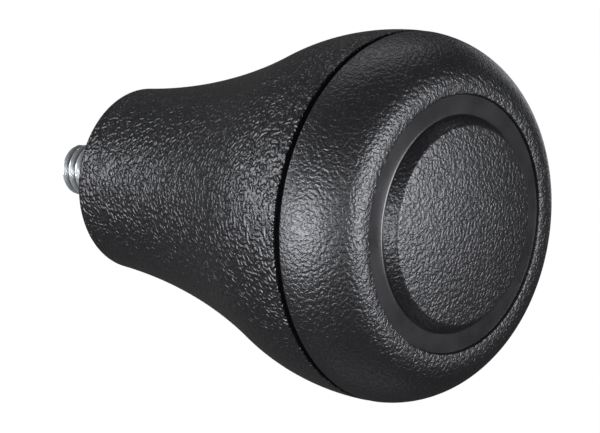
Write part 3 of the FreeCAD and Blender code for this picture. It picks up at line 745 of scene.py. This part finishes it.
def build_cap(form, inside, finishes):
    """The cap: grained shoulder, smooth sunk ring, grained boss, skirt, and stiffeners inside."""
    wall = form.wall
    seam = form.base_lift + form.bell_height
    rim, edge_up = seam - form.seam_gap / 2, seam + form.seam_gap / 2
    side, brow, crest = form.side_radius, form.brow_radius, form.crest_radius
    side_turn = form.side_sweep
    brow_turn = side_turn + form.brow_sweep
    crest_turn = brow_turn + form.crest_sweep
    side_across = form.head_radius - side
    brow_across = side_across + (side - brow) * math.cos(side_turn)
    brow_up = seam + (side - brow) * math.sin(side_turn)
    crest_across = brow_across + (brow - crest) * math.cos(brow_turn)
    crest_up = brow_up + (brow - crest) * math.sin(brow_turn)
    lip = (crest_across + crest * math.cos(crest_turn), crest_up + crest * math.sin(crest_turn))
    ring = crest_up + crest - form.ring_drop
    boss_foot = lip[0] - form.ring_width
    boss_edge = boss_foot - form.boss_draft
    boss_top = ring + form.boss_height
    crown = form.boss_crown
    boss_inside = boss_edge - wall / 2
    dome = (boss_edge * boss_edge + crown * crown) / (2 * crown)
    inner_dome = (boss_inside * boss_inside + crown * crown) / (2 * crown)
    skirt = form.head_radius - wall - inside.skirt_play
    skirt_inside = skirt - inside.skirt_wall
    skirt_foot = rim - inside.skirt_length
    snap = skirt + inside.snap_bite
    snap_low = skirt_foot + inside.snap_lift
    snap_high = snap_low + inside.snap_height
    ceiling = ring - wall
    corner = inside.ceiling_radius
    corners = [
        (skirt_inside, skirt_foot, 0, 0, PLAIN),
        (skirt, skirt_foot, 0, 0, PLAIN),
        (skirt, snap_low, 0, 0, PLAIN),
        (snap, snap_low + inside.snap_bite, 0, 0, PLAIN),
        (snap, snap_high, 0, 0, PLAIN),
        (skirt, snap_high, 0, 0, PLAIN),
        (skirt, rim, 0, 0, PLAIN),
        (form.head_radius - form.seam_depth, rim, 0, 0, PLAIN),
        (form.head_radius - form.seam_depth, edge_up, 0, 0, GRAINED),
        (side_across + leg(side, form.seam_gap / 2), edge_up, side, form.seam_round, GRAINED),
        (side_across + side * math.cos(side_turn), seam + side * math.sin(side_turn), brow, 0,
         GRAINED),
        (brow_across + brow * math.cos(brow_turn), brow_up + brow * math.sin(brow_turn), crest, 0,
         GRAINED),
        (*lip, 0, form.lip_round, PLAIN),
        (lip[0] - form.ring_inset, ring, 0, 0, PLAIN),
        (boss_foot, ring, 0, form.boss_foot_round, GRAINED),
        (boss_edge, boss_top, dome, form.boss_edge_round, GRAINED),
        (0, boss_top + crown, 0, 0, PLAIN),
        (0, boss_top + crown - wall, -inner_dome, 0, PLAIN),
        (boss_inside, boss_top - wall, 0, 0, PLAIN),
        (boss_edge, ceiling, 0, 0, PLAIN),
        (skirt_inside - corner, ceiling, -corner, 0, PLAIN),
        (skirt_inside, ceiling - corner, 0, 0, PLAIN),
    ]
    path, skins = outline(corners, CAP_SPACING)
    dish = turned(path, CAP_SIDES)
    cut_slots(dish, skirt_foot + inside.slot_height, inside.slot_width, boss_edge)
    stiffeners = webs([
        (wall, ceiling - inside.stiffener_depth),
        (skirt_inside - wall / 2, ceiling - inside.stiffener_depth),
        (skirt_inside - wall / 2, ceiling - corner / 2),
        (skirt_inside - corner, ceiling + wall / 2),
        (boss_inside, boss_top - wall / 2),
        (wall, boss_top + crown / 2 - wall / 2),
    ], inside.stiffener_thickness, RIB_COUNT)
    grids = [dish] + stiffeners
    closed = [True] + [False] * len(stiffeners)
    return mesh_piece("cap_cover", grids, closed, [skins] + [PLAIN] * len(stiffeners), finishes)


def cut_slots(grid, top, width, clear_radius):
    """Lifts the skirt's lower edge to the slots' top, within half a slot's width of their middles."""
    angle = np.arctan2(grid[..., 1], grid[..., 0])
    radius = np.hypot(grid[..., 0], grid[..., 1])
    turn = 2 * np.pi / SLOT_COUNT
    off = np.abs((angle + turn / 2) % turn - turn / 2) * radius
    within = (off < width / 2) & (radius > clear_radius)
    grid[..., 2] = np.where(within, np.maximum(grid[..., 2], top), grid[..., 2])


def thread_radius(form, height, angle):
    """Radius of a right-handed thread over height and angle.

    The crest rises one pitch in each turn. Half-way between crests the radius is less by the
    thread's depth. Between the rolled crest and the root it falls along a slightly bowed flank.
    """
    phase = (height / form.thread_pitch - angle / (2 * np.pi)) % 1.0
    away = np.abs(phase - 0.5) * 2
    fall = np.clip((away - CREST_SHARE) / FLANK_SHARE, 0, 1)
    return form.stud_radius - form.thread_depth * fall * (1 + FLANK_BOW * (1 - fall))


def build_stud(form, inside, finishes):
    """The stud as radius over height and angle, in bands from the thread's end to the top."""
    angle = np.linspace(0, 2 * np.pi, STUD_SIDES, endpoint=False)
    end, top = (corner[2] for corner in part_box("stud"))
    low = LOWER_BEARING[0][2]
    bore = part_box("inner_spacer")[1][0] - SPACER_WALL
    journal = bore - inside.slip_fit
    journal_top = UPPER_BEARING[1][2] - inside.journal_short
    root = form.stud_radius - form.thread_depth
    thread_end = form.stud_radius - inside.stud_chamfer
    mounting = np.arange(end, 0, form.thread_pitch / MOUNTING_ROWS)
    fastening = np.arange(journal_top, top, form.thread_pitch / FASTENING_ROWS)
    bands = [
        band(angle, [end], 0),
        threaded_band(form, angle, mounting, thread_end + mounting - end),
        band(angle, [0], root),
        hexagon_band(angle, inside),
        band(angle, [inside.collar_height, low], journal + inside.land_width),
        band(angle, [low, journal_top - inside.journal_edge], journal),
        band(angle, [journal_top], journal - inside.journal_edge),
        threaded_band(form, angle, fastening, thread_end + top - fastening),
        band(angle, [top], thread_end),
        band(angle, [top], 0),
    ]
    radius = np.concatenate([part[1] for part in bands])
    height = np.concatenate([part[0] for part in bands])
    grid = np.stack([radius * np.cos(angle), radius * np.sin(angle), height], axis=-1)
    return mesh_piece("mounting_stud", [grid], [False], [PLAIN], finishes)


def band(angle, heights, radius):
    """Rows of one radius at these heights."""
    heights = np.array(heights)[:, None] + 0 * angle
    return heights, np.full_like(heights, radius)


def threaded_band(form, angle, heights, cone):
    """Rows of the thread, turned down where the cone at the stud's end is narrower."""
    heights = heights[:, None] + 0 * angle
    return heights, np.minimum(thread_radius(form, heights, angle), cone[:, None])


def hexagon_band(angle, inside):
    """Rows of the hexagonal collar, whose corners are turned off at both faces by shallow cones."""
    sixth = np.pi / 3
    half_flat = inside.collar_flats / 2
    corner_radius = half_flat / np.cos((angle % sixth) - sixth / 2)
    rows = np.concatenate([BEVEL_ROWS, FLAT_ROWS, 1 - BEVEL_ROWS[::-1]])
    heights = (rows * inside.collar_height)[:, None] + 0 * angle
    rise = np.minimum(heights, inside.collar_height - heights)
    cone = half_flat - inside.corner_bevel + rise * BEVEL_SLOPE
    return heights, np.minimum(corner_radius + 0 * heights, cone)


# Operators

SENSOR_WIDTH = 36.0
FLOOR_RADII = (0.0, 0.2, 0.4, 0.6)
FLOOR_SIDES = 96
WHITE, FLOOR_GREY = (1.0, 1.0, 1.0), (0.8, 0.8, 0.8)
LIGHTS = ("left", "right", "front", "far", "rim", "above", "below")


class KNOB_OT_moulded(bpy.types.Operator):
    """Draws the grip and its cap, which stand for their solids"""

    bl_idname = "knob.moulded"
    bl_label = "Grip and cap"

    def execute(self, context):
        form, inside = context.scene.knob_form, context.scene.knob_inside
        look = context.scene.knob_look
        plain = smooth_plastic(look)
        grip_grain = grained_plastic(
            look, "grip_grain", look.grip_ridge, look.grip_pit, look.grip_rough
        )
        cap_grain = grained_plastic(look, "cap_grain", look.cap_ridge, look.cap_pit, look.cap_rough)
        for piece, node in (
            (build_grip(form, inside, [plain, grip_grain]), "grip_shell"),
            (build_cap(form, inside, [plain, cap_grain]), "cap"),
        ):
            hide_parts(node)
            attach(piece, "knob")
        return {"FINISHED"}


class KNOB_OT_stud(bpy.types.Operator):
    """Draws the stud with its cut thread, which stands for the plain solid"""

    bl_idname = "knob.stud"
    bl_label = "Threaded stud"

    def execute(self, context):
        form, inside = context.scene.knob_form, context.scene.knob_inside
        stud = build_stud(form, inside, [plated_steel(context.scene.knob_look)])
        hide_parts("stud")
        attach(stud, "mount_stud")
        return {"FINISHED"}


class KNOB_OT_inner(bpy.types.Operator):
    """Gives the bearings, the spacer, the washer and the nut their finishes"""

    bl_idname = "knob.inner"
    bl_label = "Bearings and nut"

    def execute(self, context):
        look = context.scene.knob_look
        plated, ground = plated_steel(look), bearing_steel(look)
        shield = shield_steel(look)
        cage = moulded_nylon(look, "cage_nylon", look.nylon)
        finishes = {
            "inner_spacer": plated,
            "flat_washer": plated,
            "lock_nut": plated,
            "nut_insert": moulded_nylon(look, "nut_nylon", look.nylon_blue),
        }
        for side in ("lower", "upper"):
            finishes[side + "_inner_ring"] = ground
            finishes[side + "_outer_ring"] = ground
            finishes[side + "_balls"] = ground
            finishes[side + "_cage"] = cage
            finishes[side + "_bottom_shield"] = shield
            finishes[side + "_top_shield"] = shield
        for node, finish in finishes.items():
            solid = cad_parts[node]
            solid.data.materials.clear()
            solid.data.materials.append(finish)
        return {"FINISHED"}


def view_axes(studio):
    """The camera's right, up and backward directions."""
    rise, roll = studio.elevation, studio.roll
    back = Vector((0, -math.cos(rise), math.sin(rise)))
    level = Vector((1, 0, 0))
    upright = back.cross(level)
    right = level * math.cos(roll) + upright * math.sin(roll)
    return right, back.cross(right), back


def soft_light(studio, name):
    """A soft light that shines on the middle of the knob, from its turn and rise off the camera."""
    turn, rise, power, width = (
        getattr(studio, "%s_%s" % (name, part)) for part in ("turn", "rise", "power", "width")
    )
    right, up, back = view_axes(studio)
    level = right * math.sin(turn) + back * math.cos(turn)
    direction = level * math.cos(rise) + up * math.sin(rise)
    lamp = bpy.data.lights.new(name + "_light", "AREA")
    lamp.shape = "RECTANGLE"
    lamp.size, lamp.size_y = width, studio.light_height
    lamp.energy, lamp.color = power, studio.light_tint
    light = bpy.data.objects.new(name + "_light", lamp)
    bpy.context.scene.collection.objects.link(light)
    middle = Vector((0, 0, studio.aim_height))
    light.matrix_world = Matrix.LocRotScale(
        middle + direction * studio.light_distance, facing(direction, up), None,
    )


def facing(direction, up):
    """Turn of a light that shines against the direction, with its height along up."""
    across = up.cross(direction).normalized()
    return Matrix((across, direction.cross(across), direction)).transposed().to_quaternion()


class KNOB_OT_studio(bpy.types.Operator):
    """Sets up the pale floor, the soft lights and the camera"""

    bl_idname = "knob.studio"
    bl_label = "Studio"

    def execute(self, context):
        scene, studio = context.scene, context.scene.knob_studio
        scene.view_settings.view_transform = "Standard"
        right, up, back = view_axes(studio)
        lens = bpy.data.cameras.new("camera")
        lens.lens, lens.sensor_width = studio.lens, SENSOR_WIDTH
        camera = bpy.data.objects.new("camera", lens)
        scene.collection.objects.link(camera)
        aim = Vector((0, 0, studio.aim_height))
        shift = up * studio.shift_up - right * studio.shift_left
        camera.location = aim + shift + back * studio.camera_distance
        camera.rotation_euler = Matrix((right, up, back)).transposed().to_euler()
        scene.camera = camera
        for name in LIGHTS:
            soft_light(studio, name)
        build_floor(studio)
        build_world(scene, studio)
        return {"FINISHED"}


def ray_share(finish, camera, gloss, other):
    """One value for rays from the camera or through a clear piece, one off a gloss, one for others."""
    seen, through, mirrored = (
        finish.node("ShaderNodeLightPath", {}, {}, "Is %s Ray" % kind)
        for kind in ("Camera", "Transmission", "Glossy")
    )
    return (seen + through) * (camera - other) + mirrored * (gloss - other) + other


def build_floor(studio):
    """A round pale floor, white to the camera, that keeps a soft shadow."""
    finish = Finish("floor")
    plain = finish.node("ShaderNodeBsdfDiffuse", {}, {"Color": opaque(FLOOR_GREY)})
    glow = finish.node("ShaderNodeEmission", {}, {
        "Color": opaque(WHITE),
        "Strength": ray_share(finish, studio.floor_glow, studio.floor_gloss, 0.0),
    })
    finish.end(finish.node("ShaderNodeMixShader", {}, {
        0: ray_share(finish, studio.floor_cover, 1.0, 0.0), 1: plain, 2: glow,
    }))
    angle = np.linspace(0, 2 * np.pi, FLOOR_SIDES, endpoint=False)
    radius = np.array(FLOOR_RADII)[:, None]
    grid = np.stack([
        radius * np.cos(angle), radius * np.sin(angle), studio.floor_level + 0 * radius * angle,
    ], axis=-1)
    floor = mesh_piece("floor", [grid], [False], [PLAIN], [finish.material])


def build_world(scene, studio):
    """A dim even world that is white to the camera."""
    scene.world = bpy.data.worlds.new("studio")
    scene.world.use_nodes = True
    finish = Finish("studio", scene.world.node_tree)
    light = finish.node("ShaderNodeBackground", {}, {
        "Color": opaque(WHITE),
        "Strength": ray_share(finish, 1.0, studio.world_gloss, studio.world_light),
    })
    output = finish.tree.nodes.new("ShaderNodeOutputWorld")
    finish.tree.links.new(light.socket, output.inputs["Surface"])


class KNOB_PT_panel(bpy.types.Panel):
    """Lists the steps and the sizes and colours"""

    bl_idname = "KNOB_PT_panel"
    bl_label = "Spinner knob"
    bl_space_type = "VIEW_3D"
    bl_region_type = "UI"
    bl_category = "Spinner knob"

    def draw(self, context):
        for step in STEPS:
            self.layout.operator(step.bl_idname)
        scene = context.scene
        for group in (scene.knob_form, scene.knob_inside, scene.knob_look, scene.knob_studio):
            box = self.layout.box()
            for name in group.__annotations__:
                box.prop(group, name)


STEPS = (KNOB_OT_moulded, KNOB_OT_stud, KNOB_OT_inner, KNOB_OT_studio)
CLASSES = (KnobForm, KnobInside, KnobLook, Studio, *STEPS, KNOB_PT_panel)


def register():
    """Registers the classes and hangs the property groups on the scene."""
    for item in CLASSES:
        bpy.utils.register_class(item)
    bpy.types.Scene.knob_form = bpy.props.PointerProperty(type=KnobForm)
    bpy.types.Scene.knob_inside = bpy.props.PointerProperty(type=KnobInside)
    bpy.types.Scene.knob_look = bpy.props.PointerProperty(type=KnobLook)
    bpy.types.Scene.knob_studio = bpy.props.PointerProperty(type=Studio)


def unregister():
    """Undoes register."""
    del bpy.types.Scene.knob_form
    del bpy.types.Scene.knob_inside
    del bpy.types.Scene.knob_look
    del bpy.types.Scene.knob_studio
    for item in reversed(CLASSES):
        bpy.utils.unregister_class(item)


def main():
    """Runs every step."""
    register()
    bpy.ops.knob.moulded()
    bpy.ops.knob.stud()
    bpy.ops.knob.inner()
    bpy.ops.knob.studio()


if __name__ == "__main__":
    main()
